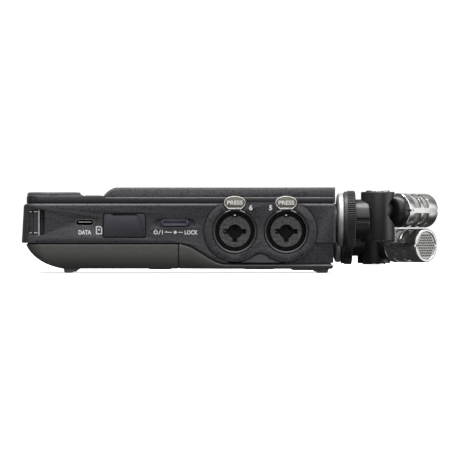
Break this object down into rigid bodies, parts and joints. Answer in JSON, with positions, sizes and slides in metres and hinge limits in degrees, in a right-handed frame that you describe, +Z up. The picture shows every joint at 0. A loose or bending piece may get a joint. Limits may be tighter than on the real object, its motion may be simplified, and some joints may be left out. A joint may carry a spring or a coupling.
{
  "type": "handheld sound recorder",
  "caption": "Handheld sound recorder with crossed hinged microphones, combination input jacks, a raised touch screen and a jog wheel.",
  "frame": {"origin": "centre of the bounding box on the plane the feet stand on", "axes": "+X towards the microphones, +Z up through the screen, -Y towards the side with inputs 5 and 6"},
  "size_m": [0.211, 0.077, 0.0425],
  "materials": {
    "case": "moulded, fine speckled texture",
    "cover": "moulded, fine matte grain",
    "rubber": "soft matte",
    "satin": "satin black",
    "gloss": "clear hard coat over black",
    "key": "fine matte",
    "core": "grey moulded",
    "dark": "black",
    "nickel": "warm grey nickel plate",
    "steel": "satin plate",
    "brass": "turned",
    "mesh": "woven wire cloth",
    "board": "solder mask",
    "cell": "printed wrapper"
  },
  "bodies": {
    "case": {"main_frame": "case", "top_panel": "case", "back_cover": "cover", "touch_glass": "gloss", "lcd_module": "dark", "main_board": "board", "battery_tray": "dark", "battery_springs": "steel", "battery_cell_1": "cell", "battery_cell_2": "cell", "battery_cell_3": "cell", "battery_cell_4": "cell", "speaker_driver": "dark", "tripod_bush": "brass", "jack_shell_3": "dark", "jack_core_3": "core", "jack_shell_4": "dark", "jack_core_4": "core", "jack_shell_5": "dark", "jack_core_5": "core", "jack_shell_6": "dark", "jack_core_6": "core", "usb_port": "steel", "card_socket": "steel", "strap_bar": "steel", "phones_jack": "dark", "line_jack": "dark", "mic_socket_a": "steel", "mic_socket_b": "steel"},
    "battery_door": {"battery_door": "cover"},
    "battery_latch": {"battery_latch": "key"},
    "card_cover": {"card_cover": "rubber"},
    "power_slider": {"power_slider": "key"},
    "jog_wheel": {"jog_wheel": "key"},
    "volume_rocker": {"volume_rocker": "key"},
    "play_key": {"play_key": "key"},
    "forward_key": {"forward_key": "key"},
    "stop_key": {"stop_key": "key"},
    "rewind_key": {"rewind_key": "key"},
    "record_key": {"record_key": "key"},
    "jack_release_3": {"jack_release_3": "nickel"},
    "jack_release_4": {"jack_release_4": "nickel"},
    "jack_release_5": {"jack_release_5": "nickel"},
    "jack_release_6": {"jack_release_6": "nickel"},
    "mic_unit_a": {"mic_arm_a": "satin", "hinge_pin_a": "steel"},
    "mic_ring_a": {"mic_ring_a": "satin"},
    "mic_head_a": {"mic_base_a": "satin", "mic_sleeve_a": "steel", "mic_liner_a": "mesh", "mic_capsule_a": "brass", "mic_grille_a": "steel"},
    "mic_unit_b": {"mic_arm_b": "satin", "hinge_pin_b": "steel"},
    "mic_ring_b": {"mic_ring_b": "satin"},
    "mic_head_b": {"mic_base_b": "satin", "mic_sleeve_b": "steel", "mic_liner_b": "mesh", "mic_capsule_b": "brass", "mic_grille_b": "steel"}
  },
  "joints": [
    {"name": "battery_door_slide", "type": "slide", "parent": "case", "child": "battery_door", "axis": [-1, 0, 0], "range_m": [0, 0.08]},
    {"name": "battery_latch_slide", "type": "slide", "parent": "battery_door", "child": "battery_latch", "axis": [-1, 0, 0], "range_m": [0, 0.0025]},
    {"name": "card_cover_hinge", "type": "hinge", "parent": "case", "child": "card_cover", "pos_m": [-0.05245, -0.03645, 0.0186], "axis": [1, 0, 0], "range_deg": [0, 95]},
    {"name": "power_slide", "type": "slide", "parent": "case", "child": "power_slider", "axis": [1, 0, 0], "range_m": [-0.0026, 0.0026]},
    {"name": "jog_wheel_spin", "type": "hinge", "parent": "case", "child": "jog_wheel", "pos_m": [-0.0894, 0, 0.0385], "axis": [0, 0, 1], "continuous": true},
    {"name": "volume_rock", "type": "hinge", "parent": "case", "child": "volume_rocker", "pos_m": [-0.03, 0.0335, 0.0245], "axis": [0, 0, 1], "range_deg": [-2.5, 2.5], "stiffness_Nm_per_rad": 0.05},
    {"name": "play_key_press", "type": "slide", "parent": "case", "child": "play_key", "axis": [0, 0, -1], "range_m": [0, 0.0006], "stiffness_N_per_m": 400},
    {"name": "forward_key_press", "type": "slide", "parent": "case", "child": "forward_key", "axis": [0, 0, -1], "range_m": [0, 0.0006], "stiffness_N_per_m": 400},
    {"name": "stop_key_press", "type": "slide", "parent": "case", "child": "stop_key", "axis": [0, 0, -1], "range_m": [0, 0.0006], "stiffness_N_per_m": 400},
    {"name": "rewind_key_press", "type": "slide", "parent": "case", "child": "rewind_key", "axis": [0, 0, -1], "range_m": [0, 0.0006], "stiffness_N_per_m": 400},
    {"name": "record_key_press", "type": "slide", "parent": "case", "child": "record_key", "axis": [0, 0, -1], "range_m": [0, 0.0006], "stiffness_N_per_m": 400},
    {"name": "jack_release_3_press", "type": "slide", "parent": "case", "child": "jack_release_3", "axis": [0, -1, 0], "range_m": [0, 0.001], "stiffness_N_per_m": 500},
    {"name": "jack_release_4_press", "type": "slide", "parent": "case", "child": "jack_release_4", "axis": [0, -1, 0], "range_m": [0, 0.001], "stiffness_N_per_m": 500},
    {"name": "jack_release_5_press", "type": "slide", "parent": "case", "child": "jack_release_5", "axis": [0, 1, 0], "range_m": [0, 0.001], "stiffness_N_per_m": 500},
    {"name": "jack_release_6_press", "type": "slide", "parent": "case", "child": "jack_release_6", "axis": [0, 1, 0], "range_m": [0, 0.001], "stiffness_N_per_m": 500},
    {"name": "mic_unit_a_pull", "type": "slide", "parent": "case", "child": "mic_unit_a", "axis": [1, 0, 0], "range_m": [0, 0.012]},
    {"name": "mic_ring_a_turn", "type": "hinge", "parent": "mic_unit_a", "child": "mic_ring_a", "pos_m": [0.0598, -0.021, 0.02665], "axis": [1, 0, 0], "continuous": true},
    {"name": "mic_head_a_swing", "type": "hinge", "parent": "mic_unit_a", "child": "mic_head_a", "pos_m": [0.07415, -0.021, 0.03125], "axis": [0, 0, 1], "range_deg": [-90, 0]},
    {"name": "mic_unit_b_pull", "type": "slide", "parent": "case", "child": "mic_unit_b", "axis": [1, 0, 0], "range_m": [0, 0.012]},
    {"name": "mic_ring_b_turn", "type": "hinge", "parent": "mic_unit_b", "child": "mic_ring_b", "pos_m": [0.0598, 0.021, 0.01815], "axis": [1, 0, 0], "continuous": true},
    {"name": "mic_head_b_swing", "type": "hinge", "parent": "mic_unit_b", "child": "mic_head_b", "pos_m": [0.07415, 0.021, 0.01355], "axis": [0, 0, 1], "range_deg": [0, 90]}
  ]
}
